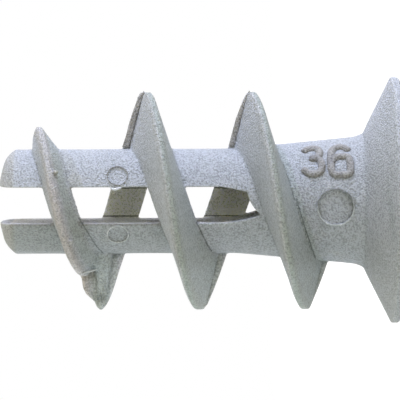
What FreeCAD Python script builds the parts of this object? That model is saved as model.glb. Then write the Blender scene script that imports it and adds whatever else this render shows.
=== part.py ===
import FreeCAD, Part
import math
import os

# Self-drilling drywall anchor, moulded in one piece: a wide flat head, a tapered neck and a split shank
# with two legs, wound by a deep right-hand flight.
#
# Frame: the axis is Z, the outer face of the head lies on z = 0 and the open tip points up. The two
# halves of the mould part on the plane XZ. The front half faces -Y, and the legs stand at +X and -X.
# All sizes are millimetres.

# Whole part
total_length = 24.0
shank_radius = 3.15

# Head: a flat face, a short rim and a conical underside that flares out of the neck
flange_radius = 7.4
rim_height = 0.5
rim_chamfer = 0.15
underside_depth = 1.92
underside_root_radius = 4.58
flare_depth = 2.7
neck_radius = 3.83
flare_sag = 0.22

# Neck: it tapers evenly down to the shank
neck_length = 9.9

# Rounded nose of the legs
nose_length = 0.95
nose_end_radius = 2.25
nose_bulge = 0.13
nose_dome = 0.2
nose_flat_radius = 1.5

# Slot that splits the shank into two legs. It lies a little off the axis and closes in a skewed point:
# its +X side slants in first and then runs steeply to the point, near the -X side
slot_width = 2.16
slot_shift = -0.1
slot_end_depth = 8.38
slot_point_shift = -0.69
slot_slant_start = 10.7
slot_slant_depth = 9.2
slot_slant_drop = 0.3

# Bore for the screw, which narrows between the legs so that the screw spreads them, and the cross recess
# for the driver
bore_radius = 1.55
bore_length = 9.0
bore_tip_radius = 1.2
recess_depth = 4.0
recess_span = 4.9
recess_end_span = 3.5
recess_wing_width = 1.25
recess_end_wing_width = 0.8
countersink_radius = 2.6

# Flight: full turns, measured at the ridge. Both mould halves were cut by hand, so each half-turn has its
# own offsets from an even helix: how much nearer the head it starts and ends, and how its middle swells
flight_pitch = 6.33
flight_top = 15.22
flight_radius = 6.55
flight_root_width = 2.14
flight_crest_rounding = 0.28
crest_land_share = 0.5
flight_seat_depth = 0.2
front_offsets = ((0.07, 0.12, 0.16), (0.01, 0.16, 0.16))
rear_offsets = ((0.2, -0.13, -0.34), (-0.04, 0.05, -0.25), (-0.07, 0.0, -0.2))
flight_start_flare = 0.6
slot_end_web = 0.25

# Low starting half-turn of the flight, on the front near the tip
starter_radius = 4.5
starter_top = 21.7
starter_advance = 2.87
starter_swell = 0.32
starter_tip_width = 0.54
starter_head_width = 1.02
starter_flare = 0.12
starter_crest_rounding = 0.26
starter_cut = 22.05

# Corner missing from the start of the full flight, behind the end of the low one: the broken edge as
# radius and height, and its reach to either side of the parting plane
chip_edge = ((5.3, 19.2), (5.72, 18.78), (5.9, 18.55), (6.02, 18.34), (6.2, 18.31), (6.4, 18.2), (6.7, 18.0))
chip_depth = 0.5

# Run-out of the flight on the back of the neck, as angles past the parting plane
runout_start = 75.0
runout_end = 150.0

# Flat discs left by the ejector pins. Angles are about the axis from the front, towards +X
neck_disc_radius = 1.05
neck_disc_height = 3.97
neck_disc_angle = -3.7
neck_disc_sink = 0.22
leg_disc_radius = 0.62
leg_disc_height = 16.9
leg_disc_angles = (32.0, -36.0)
leg_disc_sink = 0.09

# How far a cutting tool reaches past what it cuts
overshoot = 1.0

# Fineness of the lofted flight
sections_per_half = 9
samples_of_draw = 24


def at(radius, height):
    """A point of a turned profile."""
    return FreeCAD.Vector(radius, 0, height)


def line(first, second):
    return Part.LineSegment(first, second).toShape()


def arc(first, middle, last):
    return Part.Arc(first, middle, last).toShape()


def middle_of(first, last, sag):
    """The middle of an arc between two points, sag to the left of the way from first to last."""
    along = last - first
    across = FreeCAD.Vector(-along.z, 0, along.x).normalize()
    return first + along * 0.5 + across * sag


def turned_body():
    """Head, neck and shank as one solid of revolution."""
    rim_low = at(flange_radius - rim_chamfer, 0)
    rim_high = at(flange_radius, rim_chamfer)
    rim_top = at(flange_radius, rim_height)
    flare_low = at(underside_root_radius, underside_depth)
    flare_high = at(neck_radius, flare_depth)
    flare_mid = middle_of(flare_low, flare_high, flare_sag)
    nose_low = at(shank_radius, total_length - nose_length)
    nose_high = at(nose_end_radius, total_length - nose_dome)
    edges = [
        line(at(0, 0), rim_low),
        line(rim_low, rim_high),
        line(rim_high, rim_top),
        line(rim_top, flare_low),
        line(flare_low, flare_mid),
        line(flare_mid, flare_high),
        line(flare_high, at(shank_radius, neck_length)),
        line(at(shank_radius, neck_length), nose_low),
        arc(nose_low, middle_of(nose_low, nose_high, -nose_bulge), nose_high),
        line(nose_high, at(nose_flat_radius, total_length)),
        line(at(nose_flat_radius, total_length), at(0, total_length)),
        line(at(0, total_length), at(0, 0)),
    ]
    face = Part.Face(Part.Wire(edges))
    return face.revolve(FreeCAD.Vector(0, 0, 0), FreeCAD.Vector(0, 0, 1), 360)


def slot_blade():
    """The blade that leaves the slot: straight sides that close to a skewed point."""
    left = slot_shift - slot_width / 2
    right = slot_shift + slot_width / 2
    above = total_length + overshoot
    point = at(slot_point_shift, slot_end_depth)
    slant_low = at(right - slot_slant_drop, slot_slant_depth)
    left_high = at(left, slot_slant_start)
    steep_middle = middle_of(slant_low, point, -slot_slant_drop / 2)
    outline = Part.Wire([
        line(at(left, above), left_high),
        arc(left_high, middle_of(left_high, point, -slot_slant_drop / 4), point),
        arc(point, steep_middle, slant_low),
        line(slant_low, at(right, slot_slant_start)),
        line(at(right, slot_slant_start), at(right, above)),
        line(at(right, above), at(left, above)),
    ])
    outline.translate(FreeCAD.Vector(0, -flange_radius, 0))
    return Part.Face(outline).extrude(FreeCAD.Vector(0, 2 * flange_radius, 0))


class HalfTurn:
    """Half a turn of the flight, as one half of the mould forms it.

    The turn is an angle in radians from the parting plane where the half starts, nearest the tip.
    Widths are measured along the axis from the ridge to the foot of each flank.
    """

    def __init__(self, start, advance, radius, tip_width, head_width, rounding, swell,
                 tip_flare=0.0, head_flare=0.0, head_bulge=0.0):
        self.start = start
        self.advance = advance
        self.radius = radius
        self.tip_width = tip_width
        self.head_width = head_width
        self.rounding = rounding
        self.swell = swell
        self.tip_flare = tip_flare
        self.head_flare = head_flare
        self.head_bulge = head_bulge

    def foot_widths(self, turn):
        """Widths of the tip side and the head side, flared at the start or bulged in the middle."""
        start = max(0.0, math.cos(1.5 * turn))
        tip = self.tip_width + self.tip_flare * start
        head = self.head_width + self.head_flare * start + self.head_bulge * math.sin(turn) ** 2
        return tip, head

    def ridge(self, turn):
        """Height of the ridge, which comes down towards the head."""
        share = turn / math.pi
        return self.start - self.advance * (share - self.swell * share * (1 - share))

    def flank(self, radius, foot_width):
        """Distance from the ridge to a flank: straight, then rounded off over the crest."""
        round_start = self.radius - self.rounding
        if radius > round_start:
            rise = min(1.0, (radius - round_start) / self.rounding)
            return self.rounding * math.sqrt(1 - rise * rise)
        slope = (foot_width - self.rounding) / (round_start - shank_radius)
        return self.rounding + slope * (round_start - radius)

    def drawn_flank(self, radius, turn, foot_width, from_end):
        """The flank filled out wherever the mould half couldn't be drawn off it.

        The half is drawn square to the parting plane, so what the flight hides on its way out,
        between this point and the front, is filled down to the parting plane.
        """
        own = math.pi - turn if from_end else turn
        height = radius * math.cos(own)
        if own >= math.pi / 2:
            return self.flank(radius, foot_width)
        limit = max(own, math.acos(min(1.0, height / self.radius)))
        reach = 0.0
        for sample in range(samples_of_draw + 1):
            angle = own + (limit - own) * sample / samples_of_draw
            there = math.pi - angle if from_end else angle
            shift = abs(self.ridge(there) - self.ridge(turn))
            reach = max(reach, shift + self.flank(height / math.cos(angle), foot_width))
        return reach

    def section(self, turn, rear, keep=1.0):
        """A closed section through the axis; keep shrinks it where the flight runs out."""
        side = -1 if rear else 1
        outward = FreeCAD.Vector(side * math.cos(turn), -side * math.sin(turn), 0)
        ridge = self.ridge(turn)
        spread = 0.4 + 0.6 * keep
        tip, head = self.foot_widths(turn)

        def point(radius, offset):
            height = shank_radius + max(0.0, radius - shank_radius) * keep
            return outward * min(radius, height) + FreeCAD.Vector(0, 0, ridge + offset * spread)

        def on_tip_side(radius):
            return point(radius, self.drawn_flank(radius, turn, tip, True))

        def on_head_side(radius):
            return point(radius, -self.drawn_flank(radius, turn, head, False))

        seat = shank_radius - flight_seat_depth
        round_start = self.radius - self.rounding
        flank = [seat, (seat + round_start) / 2, round_start]
        land = crest_land_share * self.drawn_flank(round_start, turn, tip, True)
        head_land = crest_land_share * self.drawn_flank(round_start, turn, head, False)
        over = [point(self.radius, land), point(self.radius, -head_land)]
        return Part.Wire([
            curve([on_tip_side(r) for r in flank]),
            line(on_tip_side(round_start), over[0]),
            line(over[0], over[1]),
            line(over[1], on_head_side(round_start)),
            curve([on_head_side(r) for r in reversed(flank)]),
            line(on_head_side(seat), on_tip_side(seat)),
        ])


def curve(points):
    """A smooth curve through points, with its parameter spread evenly over them."""
    spline = Part.BSplineCurve()
    steps = [step / (len(points) - 1) for step in range(len(points))]
    spline.interpolate(Points=points, Parameters=steps)
    return spline.toShape()


def full_half(start, offsets, **extras):
    """Half a turn of the full flight. Start is where its ridge would start on an even helix."""
    half_width = flight_root_width / 2
    lag, end_lag, swell = offsets
    advance = flight_pitch / 2 + end_lag - lag
    return HalfTurn(start - lag, advance, flight_radius, half_width, half_width,
                    flight_crest_rounding, swell, **extras)


def lofted(half, rear, last=180.0, fade=None):
    """A solid through the sections of a half-turn, up to the angle last."""
    wires = []
    for step in range(sections_per_half):
        angle = last * step / (sections_per_half - 1)
        wires.append(half.section(math.radians(angle), rear, fade(angle) if fade else 1.0))
    return Part.makeLoft(wires, True, False)


def runout(angle):
    """Share of the flight's height that is left at this angle."""
    if angle <= runout_start:
        return 1.0
    share = (angle - runout_start) / (runout_end - runout_start)
    return max(0.02, math.cos(share * math.pi / 2))


def starter():
    """The low first half-turn, trimmed square where it starts."""
    half = HalfTurn(starter_top, starter_advance, starter_radius, starter_tip_width,
                    starter_head_width, starter_crest_rounding, starter_swell,
                    head_flare=starter_flare)
    trim = Part.makeBox(4 * flange_radius, 4 * flange_radius, total_length,
                        FreeCAD.Vector(-2 * flange_radius, -2 * flange_radius, starter_cut))
    return lofted(half, False).cut(trim)


def chip():
    """A prism that takes the corner off the start of the full flight."""
    outside = (chip_edge[-1][0], chip_edge[0][1])
    outline = [FreeCAD.Vector(-radius, -chip_depth, height)
               for radius, height in chip_edge + (outside, chip_edge[0])]
    return Part.Face(Part.makePolygon(outline)).extrude(FreeCAD.Vector(0, 2 * chip_depth, 0))


def flights():
    """All half-turns, from the tip to the head."""
    half_pitch = flight_pitch / 2
    starts = [flight_top + half_pitch * (1 - index) for index in range(5)]
    first = full_half(starts[0], rear_offsets[0], tip_flare=flight_start_flare)
    second = full_half(starts[2], rear_offsets[1], head_bulge=slot_end_web)
    third = full_half(starts[4], rear_offsets[2])
    return [
        starter(),
        lofted(first, True).cut(chip()),
        lofted(full_half(starts[1], front_offsets[0]), False),
        lofted(second, True),
        lofted(full_half(starts[3], front_offsets[1]), False),
        lofted(third, True, runout_end, runout),
    ]


def bore_tool():
    """The screw's bore, right through and narrower towards the tip."""
    straight = Part.makeCylinder(bore_radius, bore_length + overshoot,
                                 FreeCAD.Vector(0, 0, -overshoot))
    narrowing = Part.makeCone(bore_radius, bore_tip_radius, total_length - bore_length,
                              FreeCAD.Vector(0, 0, bore_length))
    return straight.fuse(narrowing)


def recess_tool():
    """Four tapered wings and a small countersink, for a cross-head driver."""
    def slab(width, span, height):
        w = width / 2
        s = span / 2
        corners = [(-s, -w), (s, -w), (s, w), (-s, w), (-s, -w)]
        return Part.makePolygon([FreeCAD.Vector(x, y, height) for x, y in corners])

    low = slab(recess_wing_width, recess_span, 0)
    high = slab(recess_end_wing_width, recess_end_span, recess_depth)
    wing = Part.makeLoft([low, high], True, True)
    across = wing.copy()
    across.rotate(FreeCAD.Vector(0, 0, 0), FreeCAD.Vector(0, 0, 1), 90)
    cone = Part.makeCone(countersink_radius, bore_radius, countersink_radius - bore_radius)
    return wing.fuse([across, cone])


def disc_tool(radius, angle, height, skin, sink):
    """A flat-ended pin square to the skin, its end sunk below the skin at its centre."""
    turn = math.radians(angle)
    outward = FreeCAD.Vector(math.sin(turn), -math.cos(turn), 0)
    foot = outward * (skin - sink) + FreeCAD.Vector(0, 0, height)
    return Part.makeCylinder(radius, shank_radius, foot, outward)


def disc_tools():
    taper = (neck_radius - shank_radius) / (neck_length - flare_depth)
    neck_skin = neck_radius - taper * (neck_disc_height - flare_depth)
    discs = [disc_tool(neck_disc_radius, neck_disc_angle, neck_disc_height, neck_skin,
                       neck_disc_sink)]
    for angle in leg_disc_angles:
        discs.append(disc_tool(leg_disc_radius, angle, leg_disc_height, shank_radius,
                               leg_disc_sink))
    return discs


def anchor():
    """The whole anchor as one solid."""
    body = turned_body().cut([slot_blade()] + disc_tools())
    body = body.fuse(flights())
    body = body.cut([bore_tool(), recess_tool()])
    return body.removeSplitter()


os.makedirs("parts", exist_ok=True)
solid = anchor()
box = solid.BoundBox
print("solids", len(solid.Solids), "valid", solid.isValid(), "faces", len(solid.Faces))
print("volume", round(solid.Volume, 2), "box", round(box.XMin, 2), round(box.XMax, 2),
      round(box.YMin, 2), round(box.YMax, 2), round(box.ZMin, 2), round(box.ZMax, 2))
solid.exportStep("parts/anchor_body.step")
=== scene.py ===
import logging
import math
from collections.abc import Iterator
from contextlib import contextmanager
from dataclasses import dataclass, field
from enum import Enum

import bpy
from mathutils import Matrix, Vector


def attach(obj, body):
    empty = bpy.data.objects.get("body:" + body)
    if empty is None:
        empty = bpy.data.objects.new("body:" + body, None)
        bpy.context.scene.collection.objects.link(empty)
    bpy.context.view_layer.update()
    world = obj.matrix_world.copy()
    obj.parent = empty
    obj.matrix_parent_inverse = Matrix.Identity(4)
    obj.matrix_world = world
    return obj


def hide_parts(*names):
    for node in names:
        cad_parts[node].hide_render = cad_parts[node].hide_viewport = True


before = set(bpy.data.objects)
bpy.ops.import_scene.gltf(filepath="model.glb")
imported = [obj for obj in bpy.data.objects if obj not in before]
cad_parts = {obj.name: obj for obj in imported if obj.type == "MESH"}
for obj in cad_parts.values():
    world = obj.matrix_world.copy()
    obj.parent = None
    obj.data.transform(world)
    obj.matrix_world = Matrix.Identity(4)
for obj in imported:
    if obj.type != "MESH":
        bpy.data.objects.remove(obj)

MM = 0.001
WORK_SCALE = 100.0
TINY = 1e-6
BODY = "root"
VALUE = "NodeSocketFloat"
VECTOR = "NodeSocketVector"
Colour = tuple[float, float, float]
Place = tuple[float, float, float]
Piece = bpy.types.Object
Socket = bpy.types.NodeSocket
Tree = bpy.types.NodeTree
log = logging.getLogger("anchor")


class Digit(Enum):
    """Strokes of the digits on the neck, in a box one unit high that starts at the lower left."""

    THREE = (
        ((0.03, 0.86), (0.16, 1.0), (0.5, 1.03), (0.58, 0.72), (0.42, 0.5), (0.24, 0.53)),
        ((0.24, 0.53), (0.5, 0.56), (0.64, 0.3), (0.56, -0.02), (0.16, -0.04), (0.0, 0.14)),
    )
    SIX = (
        ((0.58, 0.88), (0.46, 1.04), (0.1, 1.04), (0.0, 0.7), (0.0, 0.3), (0.02, -0.05),
         (0.32, -0.04)),
        ((0.32, -0.04), (0.66, -0.05), (0.64, 0.3), (0.62, 0.62), (0.3, 0.6), (0.12, 0.58),
         (0.0, 0.36)),
    )


class Light(Enum):
    """The soft lamps round the anchor, by the names of their objects."""

    KEY = "key_softbox"
    BOUNCE = "bounce_card"
    BACK = "back_card"


def clear_selection() -> None:
    """Deselects every object, because the loaded nodes come in selected."""
    bpy.ops.object.select_all(action="DESELECT")


def pick(piece: Piece) -> None:
    """Makes one object the only selected and active one.

    Args:
        piece: The object that the next operators act on.
    """
    clear_selection()
    piece.select_set(True)
    bpy.context.view_layer.objects.active = piece


@contextmanager
def whole_mesh(piece: Piece) -> Iterator[None]:
    """Enters edit mode with a whole mesh selected, and leaves it at the end.

    Args:
        piece: The mesh object to edit.

    Yields:
        Nothing, once, while the mesh is open for edits.
    """
    pick(piece)
    bpy.ops.object.mode_set(mode="EDIT")
    bpy.ops.mesh.select_all(action="SELECT")
    yield
    bpy.ops.object.mode_set(mode="OBJECT")


def apply_modifier(piece: Piece, name: str, kind: str, **settings: object) -> None:
    """Adds a modifier to a piece, sets it up and applies it.

    Args:
        piece: The mesh object to change.
        name: The modifier's name.
        kind: The modifier's type, as Blender names it.
        **settings: The modifier's properties and their values.
    """
    pick(piece)
    modifier = piece.modifiers.new(name, kind)
    for key, value in settings.items():
        setattr(modifier, key, value)
    bpy.ops.object.modifier_apply(modifier=modifier.name)


def resize_all(piece: Piece, factor: float) -> None:
    """Scales a whole mesh about the origin, in edit mode, to as many times its size."""
    with whole_mesh(piece):
        bpy.ops.transform.resize(value=(factor, factor, factor), center_override=(0, 0, 0))


def mesh_from_curve(curve: bpy.types.Curve) -> Piece:
    """Makes a mesh object of a curve, with the curve's name.

    Args:
        curve: The curve.

    Returns:
        The object, selected and active.
    """
    piece = bpy.data.objects.new(curve.name, curve)
    bpy.context.scene.collection.objects.link(piece)
    pick(piece)
    bpy.ops.object.convert(target="MESH")
    return piece


def thread(name: str, paths: list[list[tuple[float, ...]]], half_width: float, order: int,
           section: int, steps: int) -> Piece:
    """Makes a round thread along smooth paths.

    Args:
        name: Its name.
        paths: The points of each path: a place in millimetres, and a share of the half width.
        half_width: Its half width, in millimetres.
        order: The order of its splines.
        section: How finely its section is rounded.
        steps: How finely its length is divided between two points.

    Returns:
        The thread, selected and active.
    """
    curve = bpy.data.curves.new(name, "CURVE")
    curve.dimensions = "3D"
    curve.bevel_depth = half_width * MM
    curve.bevel_resolution = section
    curve.resolution_u = steps
    curve.use_fill_caps = True
    for path in paths:
        spline = curve.splines.new("NURBS")
        spline.points.add(len(path) - 1)
        for point, (*place, share) in zip(spline.points, path):
            point.co = (*(value * MM for value in place), 1)
            point.radius = share
        spline.order_u = order
        spline.use_endpoint_u = True
    return mesh_from_curve(curve)


def link_socket(tree: Tree, source: Socket, target: Socket) -> None:
    """Joins two sockets of a node tree."""
    tree.links.new(source, target)


def math_node(tree: Tree, operation: str, *values: object) -> Socket:
    """Adds a math node.

    Args:
        tree: The node tree to add it to.
        operation: The node's operation.
        *values: A number or a socket for each input.

    Returns:
        The node's output.
    """
    node = tree.nodes.new("ShaderNodeMath")
    node.operation = operation
    for socket, value in zip(node.inputs, values):
        if isinstance(value, (int, float)):
            socket.default_value = value
        else:
            link_socket(tree, value, socket)
    return node.outputs[0]


def noise_node(tree: Tree, vector: Socket, scale: Socket, detail: float,
               roughness: float) -> Socket:
    """Adds a noise texture.

    Args:
        tree: The node tree to add it to.
        vector: Where it is read.
        scale: Its scale.
        detail: Its octaves.
        roughness: How strong the finer octaves are.

    Returns:
        Its value, around one half.
    """
    node = tree.nodes.new("ShaderNodeTexNoise")
    link_socket(tree, vector, node.inputs["Vector"])
    link_socket(tree, scale, node.inputs["Scale"])
    node.inputs["Detail"].default_value = detail
    node.inputs["Roughness"].default_value = roughness
    return node.outputs["Fac"]


def step_node(tree: Tree, value: Socket, start: float, end: float) -> Socket:
    """Adds a soft step.

    Args:
        tree: The node tree to add it to.
        value: What is compared.
        start: Where it puts out zero.
        end: Where it puts out one.

    Returns:
        The step, between zero and one.
    """
    node = tree.nodes.new("ShaderNodeMapRange")
    node.interpolation_type = "SMOOTHSTEP"
    node.inputs["From Min"].default_value = start
    node.inputs["From Max"].default_value = end
    link_socket(tree, value, node.inputs["Value"])
    return node.outputs["Result"]


def multiply_node(tree: Tree, share: Socket, base: Socket, tone: Colour) -> Socket:
    """Adds a colour mix that multiplies a colour by a tone where a mask holds.

    Args:
        tree: The node tree to add it to.
        share: The mask.
        base: The colour before.
        tone: What it is multiplied by.

    Returns:
        The colour after.
    """
    mix = tree.nodes.new("ShaderNodeMix")
    mix.data_type = "RGBA"
    mix.blend_type = "MULTIPLY"
    link_socket(tree, share, mix.inputs["Factor"])
    link_socket(tree, base, mix.inputs["A"])
    mix.inputs["B"].default_value = (*tone, 1)
    return mix.outputs["Result"]


class Measure(Enum):
    """What a tint's place is measured by."""

    LEVEL = "place along X"
    DEPTH = "distance from the parting plane"
    FRONT = "distance in front of the parting plane"
    HEIGHT = "place along Z"
    PLACE = "the whole place, as a vector"
    TURN = "share of the flight's pitch, one half at its crest"
    RADIUS = "distance from the axis"


@dataclass(frozen=True)
class Flight:
    """The flight's pitch in millimetres, and its share at which the crest passes the front."""

    pitch: float = 6.33
    crest: float = 0.133


FLIGHT = Flight()


@dataclass(frozen=True)
class Span:
    """Where a tint holds along one measure, and how softly it ends, in millimetres."""

    measure: Measure
    low: float
    high: float
    soft: float

    def mask(self, tree: Tree, measures: dict[Measure, Socket]) -> Socket:
        """Adds the span's mask.

        Args:
            tree: The node tree to add it to.
            measures: The socket of each measure.

        Returns:
            One inside the span and zero outside.
        """
        value = measures[self.measure]
        rise = step_node(tree, value, self.low - self.soft, self.low + self.soft)
        fall = step_node(tree, value, self.high + self.soft, self.high - self.soft)
        return math_node(tree, "MULTIPLY", rise, fall)


@dataclass(frozen=True)
class Tint:
    """A tone that the skin is multiplied by where all its spans hold."""

    colour: Colour
    spans: tuple[Span, ...]

    def apply(self, tree: Tree, measures: dict[Measure, Socket], base: Socket) -> Socket:
        """Multiplies a colour by the tint.

        Args:
            tree: The node tree to add it to.
            measures: The socket of each measure.
            base: The colour before.

        Returns:
            The colour after.
        """
        share = self.spans[0].mask(tree, measures)
        for span in self.spans[1:]:
            share = math_node(tree, "MULTIPLY", share, span.mask(tree, measures))
        return multiply_node(tree, share, base, self.colour)


def vector_node(tree: Tree, operation: str, *values: object) -> bpy.types.Node:
    """Adds a vector math node.

    Args:
        tree: The node tree to add it to.
        operation: The node's operation.
        *values: A tuple or a socket for each input, in order.

    Returns:
        The node.
    """
    node = tree.nodes.new("ShaderNodeVectorMath")
    node.operation = operation
    for socket, value in zip(node.inputs, values):
        if isinstance(value, tuple):
            socket.default_value = value
        else:
            link_socket(tree, value, socket)
    return node


def start_group(name: str, inputs: dict[str, str], outputs: tuple[str, ...]
                ) -> tuple[Tree, bpy.types.NodeOutputs, bpy.types.NodeInputs]:
    """Starts a node group and makes its sockets.

    Args:
        name: The group's name.
        inputs: The type of each input, by its name.
        outputs: The names of its outputs, which are all values.

    Returns:
        The group, the sockets that its nodes read and the sockets that they fill.
    """
    tree = bpy.data.node_groups.new(name, "ShaderNodeTree")
    for socket, kind in inputs.items():
        tree.interface.new_socket(socket, in_out="INPUT", socket_type=kind)
    for socket in outputs:
        tree.interface.new_socket(socket, in_out="OUTPUT", socket_type=VALUE)
    inside = tree.nodes.new("NodeGroupInput").outputs
    outside = tree.nodes.new("NodeGroupOutput").inputs
    return tree, inside, outside


LINE_EDGE, LINE_CORE = 1.0, 0.2


def near_line_group() -> Tree:
    """Builds the mask of places near a straight line, seen from the front, as a node group, once.

    It fades from the line's core to its edge, which are shares of its half width.

    Returns:
        The group, which puts out the mask.
    """
    name = "near a line"
    if name in bpy.data.node_groups:
        return bpy.data.node_groups[name]
    sockets = {"Place": VECTOR, "Start": VECTOR, "End": VECTOR, "Width": VALUE}
    tree, inside, outside = start_group(name, sockets, ("Mask",))
    flat = vector_node(tree, "MULTIPLY", inside["Place"], (1.0, 0.0, 1.0)).outputs["Vector"]
    reach = vector_node(tree, "SUBTRACT", flat, inside["Start"]).outputs["Vector"]
    run = vector_node(tree, "SUBTRACT", inside["End"], inside["Start"]).outputs["Vector"]
    along = vector_node(tree, "DOT_PRODUCT", reach, run).outputs["Value"]
    length = vector_node(tree, "DOT_PRODUCT", run, run).outputs["Value"]
    share = math_node(tree, "DIVIDE", along, length)
    share = math_node(tree, "MINIMUM", math_node(tree, "MAXIMUM", share, 0.0), 1.0)
    step = vector_node(tree, "SCALE", run)
    link_socket(tree, share, step.inputs["Scale"])
    away = vector_node(tree, "DISTANCE", reach, step.outputs["Vector"]).outputs["Value"]
    widths = math_node(tree, "DIVIDE", away, inside["Width"])
    link_socket(tree, step_node(tree, widths, LINE_EDGE, LINE_CORE), outside["Mask"])
    return tree


@dataclass(frozen=True)
class RootShadeLine:
    """Painted shade along a root on the front: its points as X and Z in millimetres, and its half
    width.

    It fades in over a stretch in front of the parting plane.
    """

    colour: Colour
    points: tuple[tuple[float, float], ...]
    width: float
    fade: tuple[float, float] = (0.2, 0.4)

    def apply(self, tree: Tree, measures: dict[Measure, Socket], base: Socket) -> Socket:
        """Multiplies a colour by the painted shade's tone near the line.

        Args:
            tree: The node tree to add it to.
            measures: The socket of each measure.
            base: The colour before.

        Returns:
            The colour after.
        """
        share = None
        for start, end in zip(self.points, self.points[1:]):
            near = tree.nodes.new("ShaderNodeGroup")
            near.node_tree = near_line_group()
            link_socket(tree, measures[Measure.PLACE], near.inputs["Place"])
            near.inputs["Start"].default_value = (start[0], 0, start[1])
            near.inputs["End"].default_value = (end[0], 0, end[1])
            near.inputs["Width"].default_value = self.width
            mask = near.outputs["Mask"]
            share = mask if share is None else math_node(tree, "MAXIMUM", share, mask)
        front = step_node(tree, measures[Measure.FRONT], *self.fade)
        return multiply_node(tree, math_node(tree, "MULTIPLY", share, front), base, self.colour)


FLAT_POINTINESS = 0.5
BEND_START, BEND_FULL = 0.2, 1.0


def edge_and_root_group() -> Tree:
    """Builds the masks of sharp edges and of tight roots, for lighter edges and painted root shade,
    as a node group, once.

    Returns:
        The group, which puts out an edge mask and a root mask.
    """
    name = "edges and roots"
    if name in bpy.data.node_groups:
        return bpy.data.node_groups[name]
    tree, inside, outside = start_group(name, {"Softness": VALUE}, ("Edge", "Root"))
    geometry = tree.nodes.new("ShaderNodeNewGeometry")
    bend = math_node(tree, "SUBTRACT", geometry.outputs["Pointiness"], FLAT_POINTINESS)
    scaled = math_node(tree, "DIVIDE", bend, inside["Softness"])
    for output, side in (("Edge", 1), ("Root", -1)):
        mask = step_node(tree, scaled, side * BEND_START, side * BEND_FULL)
        link_socket(tree, mask, outside[output])
    return tree


HEIGHT_FROM_FINE, TONE_FROM_FINE = 0.9, 0.85


def moulded_grain_group() -> Tree:
    """Builds the grain of a spark-eroded mould as a node group, once.

    Each output is the fine grain's share of it, and mottle for the rest.

    Returns:
        The group, which puts out a bump height and a colour tone, both around one half.
    """
    name = "moulded grain"
    if name in bpy.data.node_groups:
        return bpy.data.node_groups[name]
    sockets = {"Vector": VECTOR, "Grain Scale": VALUE, "Mottle Scale": VALUE}
    tree, inside, outside = start_group(name, sockets, ("Height", "Tone"))
    fine = noise_node(tree, inside["Vector"], inside["Grain Scale"], detail=2.0, roughness=0.6)
    mottle = noise_node(tree, inside["Vector"], inside["Mottle Scale"], detail=3.0, roughness=0.55)
    for output, share in (("Height", HEIGHT_FROM_FINE), ("Tone", TONE_FROM_FINE)):
        part = math_node(tree, "MULTIPLY", fine, share)
        mixed = math_node(tree, "MULTIPLY_ADD", mottle, 1.0 - share, part)
        link_socket(tree, mixed, outside[output])
    return tree


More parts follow.
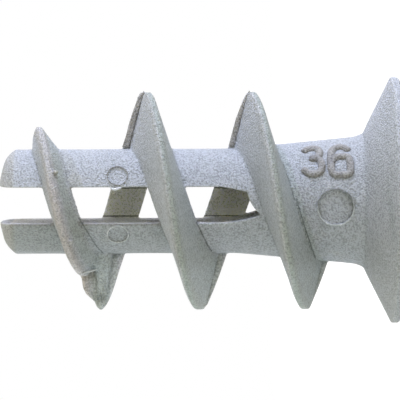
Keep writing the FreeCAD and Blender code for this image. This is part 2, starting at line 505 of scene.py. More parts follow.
@dataclass(frozen=True)
class MouldedNylon:
    """Matt grained nylon as it comes out of the mould, with painted shade in its tight roots and
    painted light and shade in most of its tints.

    Colours are linear. Scales are per millimetre, and the grain's depth is in millimetres. The
    grain's tone goes from dark to the full colour between the two limits of tone_range.
    """

    name: str
    colour: Colour
    dark: Colour
    tints: tuple[Tint | RootShadeLine, ...] = ()
    tone_range: tuple[float, float] = (0.4, 0.56)
    # painted shade in the tight roots, found by pointiness
    root_shade_tone: Colour = (0.72, 0.73, 0.7)
    edge_tone: Colour = (1.03, 1.02, 1.0)
    edge_softness: float = 0.04
    grain_scale: float = 9.0
    mottle_scale: float = 2.4
    grain_depth: float = 0.25
    roughness: float = 0.55
    roughness_range: float = 0.2
    specular: float = 0.35
    translucence: float = 0.35
    light_depth: float = 0.7
    light_spread: Colour = (1.0, 0.95, 0.8)

    def material(self) -> bpy.types.Material:
        """Builds the material.

        Returns:
            The material, or the one that was built before under this name.
        """
        if self.name in bpy.data.materials:
            return bpy.data.materials[self.name]
        material = bpy.data.materials.new(self.name)
        material.use_nodes = True
        tree = material.node_tree
        shader = tree.nodes["Principled BSDF"]
        shader.inputs["Specular IOR Level"].default_value = self.specular
        shader.inputs["Subsurface Weight"].default_value = self.translucence
        shader.inputs["Subsurface Scale"].default_value = self.light_depth * MM
        shader.inputs["Subsurface Radius"].default_value = self.light_spread
        vector = self.millimetres(tree)
        grain = tree.nodes.new("ShaderNodeGroup")
        grain.node_tree = moulded_grain_group()
        link_socket(tree, vector, grain.inputs["Vector"])
        grain.inputs["Grain Scale"].default_value = self.grain_scale
        grain.inputs["Mottle Scale"].default_value = self.mottle_scale
        self.paint(tree, shader, vector, grain.outputs["Tone"])
        smoothest = self.roughness - self.roughness_range / 2
        rough = math_node(tree, "MULTIPLY_ADD", grain.outputs["Tone"], self.roughness_range,
                          smoothest)
        link_socket(tree, rough, shader.inputs["Roughness"])
        bump = tree.nodes.new("ShaderNodeBump")
        bump.inputs["Strength"].default_value = 1.0
        bump.inputs["Distance"].default_value = self.grain_depth * MM
        link_socket(tree, grain.outputs["Height"], bump.inputs["Height"])
        link_socket(tree, bump.outputs["Normal"], shader.inputs["Normal"])
        return material

    def millimetres(self, tree: Tree) -> Socket:
        """Adds object coordinates in millimetres.

        Args:
            tree: The material's node tree.

        Returns:
            The coordinates.
        """
        coordinates = tree.nodes.new("ShaderNodeTexCoord")
        mapping = tree.nodes.new("ShaderNodeMapping")
        mapping.inputs["Scale"].default_value = (1 / MM, 1 / MM, 1 / MM)
        link_socket(tree, coordinates.outputs["Object"], mapping.inputs["Vector"])
        return mapping.outputs["Vector"]

    def paint(self, tree: Tree, shader: bpy.types.Node, vector: Socket, tone: Socket) -> None:
        """Colours the skin with its grain, its lighter edges, its painted root shade and its tints,
        most of which are painted light and shade.

        Args:
            tree: The material's node tree.
            shader: The shader that takes the colour.
            vector: Object coordinates in millimetres.
            tone: The grain's tone.
        """
        ramp = tree.nodes.new("ShaderNodeValToRGB")
        stops = zip(ramp.color_ramp.elements, self.tone_range, (self.dark, self.colour))
        for element, position, shade in stops:
            element.position = position
            element.color = (*shade, 1)
        link_socket(tree, tone, ramp.inputs["Fac"])
        colour = self.shade_roots_lighten_edges(tree, ramp.outputs["Color"])
        if self.tints:
            measures = self.measures(tree, vector)
            for layer in self.tints:
                colour = layer.apply(tree, measures, colour)
        link_socket(tree, colour, shader.inputs["Base Color"])

    def shade_roots_lighten_edges(self, tree: Tree, colour: Socket) -> Socket:
        """Paints shade into the tight roots and lightens the sharp edges.

        Args:
            tree: The material's node tree.
            colour: The colour before.

        Returns:
            The colour after.
        """
        masks = tree.nodes.new("ShaderNodeGroup")
        masks.node_tree = edge_and_root_group()
        masks.inputs["Softness"].default_value = self.edge_softness
        for output, tone in (("Root", self.root_shade_tone), ("Edge", self.edge_tone)):
            colour = multiply_node(tree, masks.outputs[output], colour, tone)
        return colour

    def measures(self, tree: Tree, vector: Socket) -> dict[Measure, Socket]:
        """Adds the measures that tints are placed by.

        Args:
            tree: The material's node tree.
            vector: Object coordinates in millimetres.

        Returns:
            The socket of each measure.
        """
        split = tree.nodes.new("ShaderNodeSeparateXYZ")
        link_socket(tree, vector, split.inputs["Vector"])
        level, back, height = split.outputs
        front = math_node(tree, "MULTIPLY", back, -1.0)
        squares = math_node(tree, "ADD", math_node(tree, "MULTIPLY", level, level),
                            math_node(tree, "MULTIPLY", back, back))
        angle = math_node(tree, "ARCTAN2", level, front)
        back_turn = math_node(tree, "MULTIPLY_ADD", angle, -0.5 / math.pi, 0.5 - FLIGHT.crest)
        phase = math_node(tree, "MULTIPLY_ADD", height, 1.0 / FLIGHT.pitch, back_turn)
        return {
            Measure.LEVEL: level,
            Measure.DEPTH: math_node(tree, "ABSOLUTE", back),
            Measure.FRONT: front,
            Measure.HEIGHT: height,
            Measure.PLACE: vector,
            Measure.TURN: math_node(tree, "FRACT", phase),
            Measure.RADIUS: math_node(tree, "SQRT", squares),
        }


def tint(*colour: float, **spans: tuple[float, float, float]) -> Tint:
    """Makes a tint: its colour, and by each measure's name a low end, a high end and a softness."""
    return Tint(colour, tuple(Span(Measure[name.upper()], *ends) for name, ends in spans.items()))


# Tones of the skin, each for one place on the part; all but the crest and nose tones are painted
# light and shade
CREST = tint(0.93, 0.92, 0.89, radius=(6.15, 9.0, 0.25), height=(2.5, 30.0, 0.1))
STARTER_CREST = tint(0.95, 0.9, 0.85, radius=(4.1, 9.0, 0.2), height=(18.9, 30.0, 0.3))
NOSE = tint(0.93, 0.9, 0.84, height=(23.1, 30.0, 0.15))
# painted light: lightens and warms the flights' strips in the parting plane, which face the viewer
# rather than the light
PARTING_STRIP_LIGHT = tint(1.05, 1.0, 0.97, depth=(-1.0, 0.05, 0.02), radius=(3.25, 6.7, 0.05),
               height=(2.75, 16.7, 0.05))
# painted light: lightens the far flights' inner faces, seen through the slot, which lie in shade
INNER_LIGHT = tint(2.15, 2.1, 1.83, radius=(2.6, 3.05, 0.03), front=(-3.5, -2.3, 0.1),
             level=(-1.12, 0.92, 0.03), height=(8.0, 18.8, 0.3))
# painted light: lightens the shaded inside of the bore near the slot's end
BORE_END_LIGHT = tint(1.75, 1.72, 1.62, radius=(1.2, 2.95, 0.03), front=(-2.9, -0.4, 0.1),
                level=(-1.14, -0.6, 0.03), height=(8.0, 10.8, 0.2))
# painted shade: a dark band on the far flights just under the upper leg's slot edge
FAR_TOP_SHADE = tint(0.4, 0.4, 0.38, radius=(-1.0, 3.05, 0.03), front=(-3.5, -2.2, 0.1),
               level=(0.6, 0.92, 0.03), height=(8.6, 18.5, 0.2))
# painted shade: a dark band at the far flights' foot, just above the lower leg's slot edge
FAR_FOOT_SHADE = tint(0.35, 0.34, 0.32, radius=(-1.0, 3.05, 0.03), front=(-3.5, -2.2, 0.1),
                level=(-1.1, -1.01, 0.03), height=(8.6, 18.5, 0.2))
# painted light: lightens the lower leg's slot wall, which lies in the upper leg's shade
LOWER_WALL_LIGHT = tint(1.7, 1.64, 1.62, radius=(-1.0, 3.08, 0.03), front=(-4.0, 2.68, 0.04),
                  level=(-1.28, -1.12, 0.03), height=(8.0, 23.3, 0.1))
# painted light: lightens the slot wall further where the flights above shade it
WALL_UNDER_FLIGHTS_LIGHT = tuple(
    tint(1.25, 1.25, 1.2, radius=(-1.0, 3.12, 0.04), level=(-1.28, -1.12, 0.03),
         height=(low, high, 0.4))
    for low, high in ((9.0, 12.0), (15.3, 18.0))
)
# painted shade: darkens the lower slot lip's rounded edge, where the key light would catch it
SLOT_LIP_SHADE = tint(0.67, 0.65, 0.61, radius=(2.93, 3.3, 0.03), level=(-1.32, -1.02, 0.06),
                height=(12.3, 23.6, 0.4))
# painted light: lightens the shaded strip beside the starting flight's ridge
STRIP_BY_RIDGE_LIGHT = tint(1.25, 1.2, 1.22, front=(-1.2, 0.12, 0.04), height=(16.4, 17.5, 0.08),
                      level=(-5.8, -3.4, 0.2))
# painted shade: darkens the starting flight's flank on the head side, away from the light
STARTER_FLANK_SHADE = tint(0.9, 0.89, 0.84, turn=(0.3, 0.548, 0.012), height=(18.6, 23.0, 0.2),
                     level=(-2.0, 3.0, 0.5))
# painted light: lightens the flanks on the tip side, towards the light
TIP_FLANKS_LIGHT = tuple(
    tint(*tone, turn=(0.57, 0.72, 0.012), radius=(3.4, 6.6, 0.1), height=(low, high, 0.3),
         level=(-9.0, 1.5, 0.5))
    for low, high, tone in ((11.0, 17.2, (1.1, 1.09, 1.1)), (18.4, 24.0, (1.1, 1.06, 1.06)))
)
# painted shade: darkens the recess under the starting flight's lip
RECESS_SHADE = tint(0.93, 0.9, 0.86, front=(-0.2, 0.32, 0.05), height=(18.25, 19.4, 0.08),
              level=(-6.0, -4.1, 0.1))
STEP_SHADE = tint(0.74, 0.71, 0.64, front=(-0.2, 0.45, 0.05), height=(18.35, 19.1, 0.1),
                  level=(-4.7, -4.2, 0.2))
# painted light: lightens the lower side, towards -X, as light bounced from below would
LOW_SIDE_LIGHT = tint(1.2, 1.22, 1.27, level=(-9.0, -3.7, 0.8), height=(2.6, 30.0, 0.2))
# painted shade: darkens the lower leg's front, away from the light above
LOWER_LEG_SHADE = tint(0.91, 0.92, 0.91, radius=(3.0, 3.3, 0.05), level=(-3.2, -1.3, 0.1),
                 height=(12.5, 24.0, 0.5))
# painted shade: darkens the lower leg near the tip, away from the light above
LOWER_TIP_SHADE = tint(0.88, 0.89, 0.87, radius=(2.9, 3.3, 0.05), level=(-2.9, -1.3, 0.1),
                 height=(19.8, 23.2, 0.2))
# painted shade: darkens the flange's middle, where the neck shades it
FLANGE_MIDDLE_SHADE = tint(0.87, 0.86, 0.84, height=(-1.0, 2.2, 0.5), level=(-3.5, 3.0, 2.0))
# painted shade: darkens the flat land on the crest to the tone of the flank beside it
LAND_SHADE = tint(0.88, 0.9, 0.88, turn=(0.49, 0.535, 0.01), radius=(6.2, 7.0, 0.1))
# painted shade: darkens the flanks on the head side, away from the light
HEAD_FLANK_SHADE = tint(0.88, 0.91, 0.86, turn=(0.3, 0.535, 0.012), radius=(3.3, 6.8, 0.15),
                  height=(2.75, 22.0, 0.1))

# Painted shade along the flights' roots, from the slot outwards
ROOT_SHADES = tuple(
    RootShadeLine(colour=(0.5, 0.52, 0.5), points=points, width=0.07)
    for points in (
        ((-0.83, 19.2), (-1.68, 18.7), (-2.61, 18.19), (-3.04, 17.85)),
        ((-1.14, 12.21), (-1.5, 12.04), (-2.55, 11.55), (-2.95, 11.32)),
        ((0.26, 6.3), (-1.47, 5.78), (-3.35, 5.13)),
    )
)

# Finishes
SKIN = MouldedNylon(
    name="grained_nylon",
    colour=(0.555, 0.575, 0.593),
    dark=(0.336, 0.351, 0.355),
    tints=(
        CREST, STARTER_CREST, LAND_SHADE, HEAD_FLANK_SHADE, STARTER_FLANK_SHADE, *TIP_FLANKS_LIGHT, STRIP_BY_RIDGE_LIGHT,
        LOWER_LEG_SHADE, LOWER_TIP_SHADE, LOW_SIDE_LIGHT, NOSE, PARTING_STRIP_LIGHT, FLANGE_MIDDLE_SHADE, INNER_LIGHT, BORE_END_LIGHT, FAR_TOP_SHADE,
        FAR_FOOT_SHADE, LOWER_WALL_LIGHT, *WALL_UNDER_FLIGHTS_LIGHT, SLOT_LIP_SHADE, RECESS_SHADE, STEP_SHADE, *ROOT_SHADES,
    ),
)
NUMBER_SKIN = MouldedNylon(
    name="number_nylon",
    colour=(0.35, 0.343, 0.325),
    dark=(0.22, 0.215, 0.205),
    grain_depth=0.12,
)
RIM_SHADE = tint(0.4, 0.4, 0.385, level=(-0.2, 3.0, 0.5), height=(2.0, 6.0, 0.1))
# pale finish of the raised pin rings and fine lines: painted highlight on real raised marks, with
# RIM_SHADE's painted shade on the neck ring's top half
HIGHLIGHT_MARK_SKIN = MouldedNylon(
    name="highlight_mark_nylon",
    colour=(0.74, 0.76, 0.76),
    dark=(0.56, 0.57, 0.57),
    tints=(RIM_SHADE,),
    grain_depth=0.08,
)
# darker finish of the flash fins on the parting strips and of the upper leg's pin line: real raised
# flash, its darker tone painted shade
FLASH_SHADE_SKIN = MouldedNylon(
    name="flash_shade_nylon",
    colour=(0.43, 0.42, 0.4),
    dark=(0.25, 0.245, 0.235),
    grain_depth=0.18,
)


def dress(piece: Piece, finish: MouldedNylon, smooth: bool = True) -> Piece:
    """Gives a piece its finish and lets it ride on the body.

    Args:
        piece: The mesh object.
        finish: Its finish.
        smooth: Whether its faces are shaded as one smooth skin.

    Returns:
        The piece.
    """
    piece.data.materials.clear()
    piece.data.materials.append(finish.material())
    if smooth:
        pick(piece)
        bpy.ops.object.shade_smooth()
    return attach(piece, BODY)


@dataclass(frozen=True)
class Shank:
    """The outer surface of the neck and the legs, in millimetres."""

    neck_radius: float = 3.83
    neck_low: float = 2.7
    neck_high: float = 9.9
    radius: float = 3.15

    def radius_at(self, height: float) -> float:
        """Finds how far the surface is from the axis.

        Args:
            height: The place along Z.

        Returns:
            The distance.
        """
        share = (height - self.neck_low) / (self.neck_high - self.neck_low)
        share = min(1.0, max(0.0, share))
        return self.neck_radius + (self.radius - self.neck_radius) * share

    def place(self, turn: float, height: float, out: float) -> Vector:
        """The point in metres at a turn in radians towards +X, a height and a distance off."""
        radius = self.radius_at(height) + out
        return Vector((radius * math.sin(turn), -radius * math.cos(turn), height)) * MM


SHANK = Shank()


@dataclass(frozen=True)
class PinMark:
    """The mark of one ejector pin: its place, and the witness line round it, in millimetres.

    The angle is in degrees from the front towards +X. The line's faces are counted around the mark
    and in its own section.
    """

    name: str
    angle: float
    height: float
    radius: float
    line: float
    finish: MouldedNylon
    lift: float = 0.03
    around: int = 96
    section: int = 10

    def build(self) -> Piece:
        """Builds the witness line as a thin raised ring on the shank.

        Returns:
            The ring.
        """
        clear_selection()
        bpy.ops.mesh.primitive_torus_add(
            major_segments=self.around, minor_segments=self.section,
            major_radius=self.radius * MM, minor_radius=self.line * MM)
        ring = bpy.context.object
        ring.name = self.name
        turn = math.radians(self.angle)
        for vertex in ring.data.vertices:
            up, along, out = (value / MM for value in vertex.co)
            height = self.height - along
            angle = turn + up / SHANK.radius_at(height)
            vertex.co = SHANK.place(angle, height, out + self.lift)
        return dress(ring, self.finish)


@dataclass(frozen=True)
class FlashFin:
    """A thin fin of flash in the parting plane: its outline in Z and X, in millimetres."""

    name: str
    outline: tuple[tuple[float, float], ...]
    front: float = -0.05
    back: float = 0.1
    rounding: float = 0.015
    merge: float = 0.0005

    def build(self) -> Piece:
        """Builds the fin from its outline.

        Returns:
            The fin.
        """
        curve = bpy.data.curves.new(self.name, "CURVE")
        curve.dimensions = "2D"
        curve.fill_mode = "BOTH"
        curve.extrude = (self.back - self.front) / 2 * MM
        curve.bevel_depth = self.rounding * MM
        curve.bevel_resolution = 1
        curve.offset = -self.rounding * MM
        spline = curve.splines.new("POLY")
        spline.points.add(len(self.outline) - 1)
        for point, (height, level) in zip(spline.points, self.outline):
            point.co = (height * MM, level * MM, 0, 1)
        spline.use_cyclic_u = True
        fin = mesh_from_curve(curve)
        middle = (self.front + self.back) / 2 * MM
        for vertex in fin.data.vertices:
            height, level, depth = vertex.co
            vertex.co = (level, depth + middle, height)
        with whole_mesh(fin):
            bpy.ops.mesh.remove_doubles(threshold=self.merge * MM)
            bpy.ops.mesh.normals_make_consistent(inside=False)
        return dress(fin, FLASH_SHADE_SKIN, smooth=False)


@dataclass(frozen=True)
class WitnessLine:
    """A fine raised line on the skin: its points in millimetres, its half width and its finish.

    It narrows to the share of its width that end_share says.
    """

    name: str
    points: tuple[Place, ...]
    thickness: float
    finish: MouldedNylon
    end_share: float = 0.3

    def build(self) -> Piece:
        """Builds the line as a thin round thread that narrows at both ends.

        Returns:
            The line.
        """
        ends = (0, len(self.points) - 1)
        path = [(*place, self.end_share if index in ends else 1.0)
                for index, place in enumerate(self.points)]
        line = thread(self.name, [path], self.thickness, order=3, section=2, steps=8)
        return dress(line, self.finish)


@dataclass(frozen=True)
class Nib:
    """A small uneven lump that the mould leaves: its centre and its half sizes, in millimetres."""

    name: str
    centre: Place
    half: Place
    unevenness: float = 0.04

    def build(self, scale: float) -> Piece:
        """Builds the lump, enlarged as the body is while it is shaped.

        Args:
            scale: How many times larger than real it is built.

        Returns:
            The lump.
        """
        clear_selection()
        bpy.ops.mesh.primitive_ico_sphere_add(subdivisions=4, radius=1.0)
        lump = bpy.context.object
        lump.name = self.name
        size, centre = (tuple(value * MM * scale for value in values)
                        for values in (self.half, self.centre))
        with whole_mesh(lump):
            bpy.ops.transform.vertex_random(offset=self.unevenness, normal=1.0,
                                            seed=len(self.name))
            bpy.ops.transform.resize(value=size, center_override=(0, 0, 0))
            bpy.ops.transform.translate(value=centre)
        return lump


@dataclass(frozen=True)
class Swell:
    """A lump of the rear flight's start, which lies on the parting plane, in millimetres.

    Each section is a level on X with its two edges on Z and how far it bulges forward. It rounds
    off at both ends, where the ball that it starts from is narrower than pole_share of its radius.
    """

    name: str
    sections: tuple[tuple[float, float, float, float], ...]
    back: float = 0.3
    squareness: float = 0.6
    pole_share: float = 1 / 3
    segments: int = 48

    def section_at(self, share: float) -> tuple[float, float, float, float]:
        """Finds the section at a place between two given ones.

        Args:
            share: The share of the way from the first section to the last.

        Returns:
            The section.
        """
        place = share * (len(self.sections) - 1)
        index = min(int(place), len(self.sections) - 2)
        rest = place - index
        low, high = self.sections[index], self.sections[index + 1]
        return tuple(a + (b - a) * rest for a, b in zip(low, high))

    def build(self, scale: float) -> Piece:
        """Builds the swell, enlarged as the body is while it is shaped.

        Args:
            scale: How many times larger than real it is built.

        Returns:
            The swell.
        """
        clear_selection()
        bpy.ops.mesh.primitive_uv_sphere_add(segments=self.segments, ring_count=self.segments,
                                             radius=1.0)
        swell = bpy.context.object
        swell.name = self.name
        for vertex in swell.data.vertices:
            along, front, down = vertex.co
            ring = max(math.hypot(along, front), TINY)
            round_off = min(1.0, ring / self.pole_share)
            level, left, right, bulge = self.section_at((1.0 - down) / 2.0)
            middle, half = (left + right) / 2, (left - right) / 2
            depth = bulge if front < 0 else self.back
            vertex.co = Vector((
                level,
                math.copysign(abs(front / ring) ** self.squareness, front) * depth * round_off,
                middle + along / ring * half * round_off,
            )) * MM * scale
        with whole_mesh(swell):
            bpy.ops.mesh.normals_make_consistent(inside=False)
        return swell


TOE = Swell("flight_toe", (
    (-2.21, 18.98, 17.24, 0.10),
    (-3.30, 19.10, 17.29, 0.10),
    (-3.79, 19.13, 17.35, 0.10),
    (-4.30, 19.20, 17.41, 0.10),
    (-4.75, 19.16, 17.50, 0.10),
    (-5.24, 19.09, 17.55, 0.10),
    (-5.60, 18.91, 17.60, 0.10),
    (-5.87, 18.61, 17.65, 0.10),
    (-6.20, 18.27, 17.72, 0.10),
    (-6.45, 18.09, 17.85, 0.10),
))
RIDGE = Swell("flight_ridge", (
    (-2.70, 18.86, 17.20, 1.20),
    (-3.10, 18.77, 17.26, 0.90),
    (-3.54, 18.68, 17.30, 0.76),
    (-3.91, 18.52, 17.34, 0.66),
    (-4.21, 18.30, 17.40, 0.56),
    (-4.70, 18.25, 17.48, 0.46),
    (-5.12, 18.25, 17.56, 0.40),
    (-5.42, 18.23, 17.61, 0.34),
    (-5.66, 18.18, 17.65, 0.26),
), squareness=0.62)


@dataclass(frozen=True)
class Dent:
    """A small pit in the skin: its place, width and depth, in millimetres."""

    place: Place
    radius: float
    depth: float

    def press(self, piece: Piece) -> None:
        """Pushes the skin in round the pit's middle, towards the axis.

        Args:
            piece: The skin.
        """
        middle = Vector(self.place) * MM
        inwards = Vector((-middle.x, -middle.y, 0)).normalized()
        for vertex in piece.data.vertices:
            reach = (vertex.co - middle).length / (self.radius * MM)
            if reach < 1.0:
                vertex.co += inwards * self.depth * MM * (1.0 - reach * reach) ** 2


@dataclass
class AnchorBody:
    """The moulded body: head, neck, legs and flight in one skin, softened as the mould leaves it.

    Sizes are millimetres.
    """

    node: str = "anchor_body"
    voxel: float = 0.05
    flat_merge: float = 0.05
    merge: float = 0.001
    smoothing: int = 2
    smoothing_factor: float = 0.5
    triangles: int = 190000
    finish: MouldedNylon = SKIN
    swells: tuple[Swell, ...] = (TOE, RIDGE)
    dents: tuple[Dent, ...] = (
        Dent(place=(0.51, -4.2, 20.34), radius=0.15, depth=0.13),
    )
    nibs: tuple[Nib, ...] = (
        Nib("upper_nib", centre=(1.93, -3.75, 20.55), half=(0.13, 0.2, 0.2)),
        Nib("lower_nib", centre=(-2.2, -3.62, 19.72), half=(0.18, 0.22, 0.24)),
        Nib("toe_nib", centre=(-6.15, -0.38, 18.02), half=(0.3, 0.3, 0.3)),
        Nib("neck_nib", centre=(0.97, -3.36, 6.52), half=(0.07, 0.07, 0.07)),
    )
    piece: Piece | None = field(default=None, init=False)

    def build(self) -> Piece:
        """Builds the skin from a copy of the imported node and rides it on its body.

        Returns:
            The skin.
        """
        self.piece = self.merged_copy()
        self.add_lumps()
        self.soften()
        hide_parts(self.node)
        return dress(self.piece, self.finish)

    def merged_copy(self) -> Piece:
        """Copies the node's mesh, enlarged for the tools, with its loose triangles merged.

        Returns:
            The copy.
        """
        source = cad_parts[self.node]
        copy = bpy.data.objects.new("moulded_body", source.data.copy())
        bpy.context.scene.collection.objects.link(copy)
        resize_all(copy, WORK_SCALE)
        with whole_mesh(copy):
            bpy.ops.mesh.remove_doubles(threshold=self.merge * MM * WORK_SCALE)
        return copy

    def add_lumps(self) -> None:
        """Joins the swells and the nibs to the copy, so that they melt into one skin."""
        lumps = [lump.build(WORK_SCALE) for lump in (*self.swells, *self.nibs)]
        pick(self.piece)
        for lump in lumps:
            lump.select_set(True)
        bpy.ops.object.join()

    def soften(self) -> None:
        """Gives the skin an even mesh and rounds its edges and roots as a mould does."""
        apply_modifier(self.piece, "even mesh", "REMESH", mode="VOXEL", adaptivity=self.flat_merge,
                       voxel_size=self.voxel * MM * WORK_SCALE, use_smooth_shade=True)
        apply_modifier(self.piece, "soft edges", "SMOOTH", factor=self.smoothing_factor,
                       iterations=self.smoothing)
        count = sum(len(face.vertices) - 2 for face in self.piece.data.polygons)
        apply_modifier(self.piece, "lighter mesh", "DECIMATE", decimate_type="COLLAPSE",
                       ratio=min(1.0, self.triangles / count))
        resize_all(self.piece, 1 / WORK_SCALE)
        for dent in self.dents:
            dent.press(self.piece)


@dataclass
class NeckNumber:
    """Raised digits on the front of the neck.

    Sizes are millimetres. The text runs towards the head and stands towards +X. Each end step is
    how far past a stroke's end it lies, and how thick the stroke is there, as shares of its
    thickness.
    """

    digits: tuple[Digit, ...] = (Digit.THREE, Digit.SIX)
    height: float = 2.04
    stroke: float = 0.24
    pitch: float = 1.62
    start: float = 5.85
    foot: float = 1.76
    narrowing: float = 0.88
    sink: float = 0.05
    end_steps: tuple[tuple[float, float], ...] = ((0.5, 0.0), (0.45, 0.8))
    finish: MouldedNylon = NUMBER_SKIN

    def build(self) -> list[Piece]:
        """Builds all digits, which ride on the body, and returns them."""
        return [self.digit(index, form) for index, form in enumerate(self.digits)]

    def digit(self, index: int, form: Digit) -> Piece:
        """Builds one digit as round strokes bent onto the neck.

        Args:
            index: Its place, from 0.
            form: Its strokes.

        Returns:
            The finished digit.
        """
        paths = [[(across * self.height * self.narrowing, up * self.height, 0.0, share)
                  for across, up, share in self.rounded_path(stroke)] for stroke in form.value]
        piece = thread(f"neck_digit_{index + 1}", paths, self.stroke, order=4, section=4, steps=10)
        self.wrap(piece, index)
        return dress(piece, self.finish)

    def rounded_path(self, stroke: tuple[tuple[float, float], ...]
                     ) -> list[tuple[float, float, float]]:
        """Adds points at both ends of a stroke, at which it narrows to a round end.

        Args:
            stroke: The stroke's points.

        Returns:
            Across, up and the share of the full thickness, for each point.
        """
        ends = []
        for end, inner in ((stroke[0], stroke[1]), (stroke[-1], stroke[-2])):
            outwards = (Vector(end) - Vector(inner)).normalized() * self.stroke / self.height
            ends.append([(*(Vector(end) + outwards * reach), share)
                         for reach, share in self.end_steps])
        middle = [(across, up, 1.0) for across, up in stroke]
        return ends[0] + middle + ends[1][::-1]

    def wrap(self, piece: Piece, index: int) -> None:
        """Bends a flat digit round the neck.

        Args:
            piece: The digit, flat at the origin.
            index: Its place, from 0.
        """
        for vertex in piece.data.vertices:
            across, up, out = (value / MM for value in vertex.co)
            height = self.start - index * self.pitch - across
            skin = SHANK.radius_at(height)
            turn = math.asin(min(1.0, self.foot / skin)) + up / skin
            vertex.co = SHANK.place(turn, height, out - self.sink)


# Fine marks on the skin
PIN_MARKS = (
    PinMark("neck_pin_line", angle=-3.7, height=3.97, radius=1.08, line=0.055, finish=HIGHLIGHT_MARK_SKIN),
    PinMark("upper_leg_pin_line", angle=32.0, height=16.9, radius=0.62, line=0.03,
            finish=FLASH_SHADE_SKIN),
    PinMark("lower_leg_pin_line", angle=-36.0, height=16.9, radius=0.63, line=0.04,
            finish=HIGHLIGHT_MARK_SKIN),
)
FLASH_FINS = (
    FlashFin("middle_flight_fin", (
        (15.35, 6.65), (15.5, 6.44), (15.82, 5.94), (16.06, 5.3), (16.26, 4.66), (16.45, 3.93),
        (16.68, 3.25), (16.28, 3.25), (16.12, 3.85), (15.92, 4.58), (15.72, 5.38), (15.57, 5.89),
        (15.41, 6.25), (15.23, 6.39),
    )),
    FlashFin("head_flight_fin", (
        (9.0, 6.66), (9.19, 6.37), (9.51, 5.75), (9.82, 4.95), (10.02, 4.22), (10.26, 3.3),
        (9.85, 3.42), (9.73, 4.07), (9.53, 4.87), (9.3, 5.67), (9.09, 6.18), (8.88, 6.4),
    )),
)
WITNESS_LINES = (
    WitnessLine("starter_lip", (
        (-4.3, -1.5, 19.12), (-4.22, -1.2, 18.95), (-4.19, -0.98, 18.78), (-4.18, -0.75, 18.6),
        (-4.13, -0.62, 18.42), (-4.07, -0.66, 18.2),
    ), 0.05, HIGHLIGHT_MARK_SKIN),
    WitnessLine("starter_scratch", (
        (0.92, -4.42, 20.78), (1.02, -4.4, 20.66), (1.1, -4.3, 20.52), (1.17, -4.02, 20.42),
    ), 0.028, HIGHLIGHT_MARK_SKIN),
    WitnessLine("slot_flake", (
        (1.0, -2.95, 17.34), (0.9, -2.97, 17.22), (0.87, -2.98, 17.08), (0.89, -2.98, 16.92),
        (0.93, -2.97, 16.78), (0.98, -2.95, 16.62),
    ), 0.085, HIGHLIGHT_MARK_SKIN),
)


@dataclass(frozen=True)
class Lamp:
    """A soft rectangular lamp that looks at the middle of the anchor.

    The direction points from the anchor to the lamp. Distance and size are metres, and power is
    watts.
    """

    light: Light
    direction: Place
    power: float
    colour: Colour
    distance: float = 0.3
    size: float = 0.24

    def build(self, target: Vector) -> bpy.types.Object:
        """Adds the lamp.

        Args:
            target: The point that it looks at.

        Returns:
            The lamp's object.
        """
        data = bpy.data.lights.new(self.light.value, "AREA")
        data.shape = "SQUARE"
        data.size = self.size
        data.energy = self.power
        data.color = self.colour
        lamp = bpy.data.objects.new(self.light.value, data)
        away = Vector(self.direction).normalized()
        lamp.location = target + away * self.distance
        lamp.rotation_euler = away.to_track_quat("Z", "Y").to_euler()
        bpy.context.scene.collection.objects.link(lamp)
        return lamp


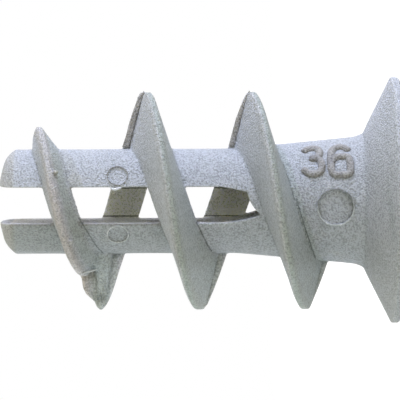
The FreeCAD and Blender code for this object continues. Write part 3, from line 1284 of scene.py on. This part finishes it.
@dataclass
class Studio:
    """The camera, the floor and the light of the photograph.

    The camera looks along +Y from a little towards +X, turned so that +X is up in the picture.
    Lengths are metres and angles are degrees. The floor's share is how much of the background it
    shows to the camera, and its glow is that background's strength.
    """

    target: Vector = field(default_factory=lambda: Vector((0.00005, 0, 0.012)))
    distance: float = 0.1809
    width: float = 0.02412
    elevation: float = 3.0
    roll: float = 0.27
    sensor: float = 36.0
    floor_size: float = 0.6
    floor_gap: float = 0.00002
    floor_colour: Colour = (0.93, 0.93, 0.93)
    floor_roughness: float = 0.9
    floor_share: float = 0.7
    floor_glow: float = 1.3
    ambient: float = 0.76
    ambient_colour: Colour = (1.0, 0.97, 0.81)
    clipping: tuple[float, float] = (0.01, 10.0)
    lamps: tuple[Lamp, ...] = (
        Lamp(Light.KEY, direction=(0.98, -0.1, 0.0), power=2.32, colour=(0.64, 0.71, 1.0)),
        Lamp(Light.BACK, direction=(0.3, 0.95, 0.0), power=0.12, colour=(0.54, 0.51, 1.0)),
        Lamp(Light.BOUNCE, direction=(-1.0, -0.25, 0.1), power=0.32, colour=(0.51, 0.73, 1.0)),
    )

    def build(self) -> None:
        """Builds the floor, the world, the lamps and the camera."""
        self.floor()
        self.world()
        for lamp in self.lamps:
            lamp.build(self.target)
        self.camera()
        bpy.context.scene.view_settings.view_transform = "Standard"

    def background_share(self, tree: Tree) -> Socket:
        """Adds the test for rays that should see the plain background.

        Args:
            tree: The node tree to add it to.

        Returns:
            One for camera, glossy and transmission rays, and zero for the others.
        """
        path = tree.nodes.new("ShaderNodeLightPath")
        seen = math_node(tree, "MAXIMUM", path.outputs["Is Camera Ray"],
                         path.outputs["Is Glossy Ray"])
        return math_node(tree, "MAXIMUM", seen, path.outputs["Is Transmission Ray"])

    def floor(self) -> None:
        """Lays the pale floor that the head stands on."""
        clear_selection()
        bpy.ops.mesh.primitive_plane_add(size=self.floor_size, location=(0, 0, -self.floor_gap))
        bpy.ops.object.transform_apply(location=True, rotation=False, scale=False)
        floor = bpy.context.object
        floor.name = "floor"
        material = bpy.data.materials.new("pale_floor")
        material.use_nodes = True
        tree = material.node_tree
        shader = tree.nodes["Principled BSDF"]
        shader.inputs["Base Color"].default_value = (*self.floor_colour, 1)
        shader.inputs["Roughness"].default_value = self.floor_roughness
        glow = tree.nodes.new("ShaderNodeEmission")
        glow.inputs["Strength"].default_value = self.floor_glow
        mix = tree.nodes.new("ShaderNodeMixShader")
        share = math_node(tree, "MULTIPLY", self.background_share(tree), self.floor_share)
        link_socket(tree, share, mix.inputs[0])
        link_socket(tree, shader.outputs[0], mix.inputs[1])
        link_socket(tree, glow.outputs[0], mix.inputs[2])
        link_socket(tree, mix.outputs[0], tree.nodes["Material Output"].inputs["Surface"])
        floor.data.materials.append(material)

    def world(self) -> None:
        """Sets the even light of the surroundings, with white behind the anchor."""
        world = bpy.data.worlds.new("studio")
        bpy.context.scene.world = world
        world.use_nodes = True
        tree = world.node_tree
        soft = tree.nodes["Background"]
        soft.inputs["Color"].default_value = (*self.ambient_colour, 1)
        soft.inputs["Strength"].default_value = self.ambient
        white = tree.nodes.new("ShaderNodeBackground")
        white.inputs["Color"].default_value = (1, 1, 1, 1)
        mix = tree.nodes.new("ShaderNodeMixShader")
        link_socket(tree, self.background_share(tree), mix.inputs[0])
        link_socket(tree, soft.outputs[0], mix.inputs[1])
        link_socket(tree, white.outputs[0], mix.inputs[2])
        link_socket(tree, mix.outputs[0], tree.nodes["World Output"].inputs["Surface"])

    def camera(self) -> None:
        """Places the camera at the photograph's view."""
        data = bpy.data.cameras.new("photo_camera")
        data.sensor_width = self.sensor
        data.lens = self.sensor * self.distance / self.width
        data.clip_start, data.clip_end = self.clipping
        tilt = math.radians(self.elevation)
        away = Vector((math.sin(tilt), -math.cos(tilt), 0))
        up = Vector((math.cos(tilt), math.sin(tilt), 0))
        right = up.cross(away)
        turn = math.radians(self.roll)
        rolled_right = right * math.cos(turn) - up * math.sin(turn)
        rolled_up = up * math.cos(turn) + right * math.sin(turn)
        camera = bpy.data.objects.new("photo_camera", data)
        place = Matrix((rolled_right, rolled_up, away)).transposed().to_4x4()
        place.translation = self.target + away * self.distance
        camera.matrix_world = place
        bpy.context.scene.collection.objects.link(camera)
        bpy.context.scene.camera = camera


def main() -> None:
    """Builds the studio and the anchor."""
    logging.basicConfig(level=logging.INFO, format="%(name)s: %(message)s")
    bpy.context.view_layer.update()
    Studio().build()
    body = AnchorBody().build()
    log.info("%s: %d faces", body.name, len(body.data.polygons))
    marks = NeckNumber().build()
    marks += [mark.build() for mark in PIN_MARKS]
    marks += [fin.build() for fin in FLASH_FINS]
    marks += [line.build() for line in WITNESS_LINES]
    for mark in marks:
        log.info("%s: %d faces", mark.name, len(mark.data.polygons))


if __name__ == "__main__":
    main()
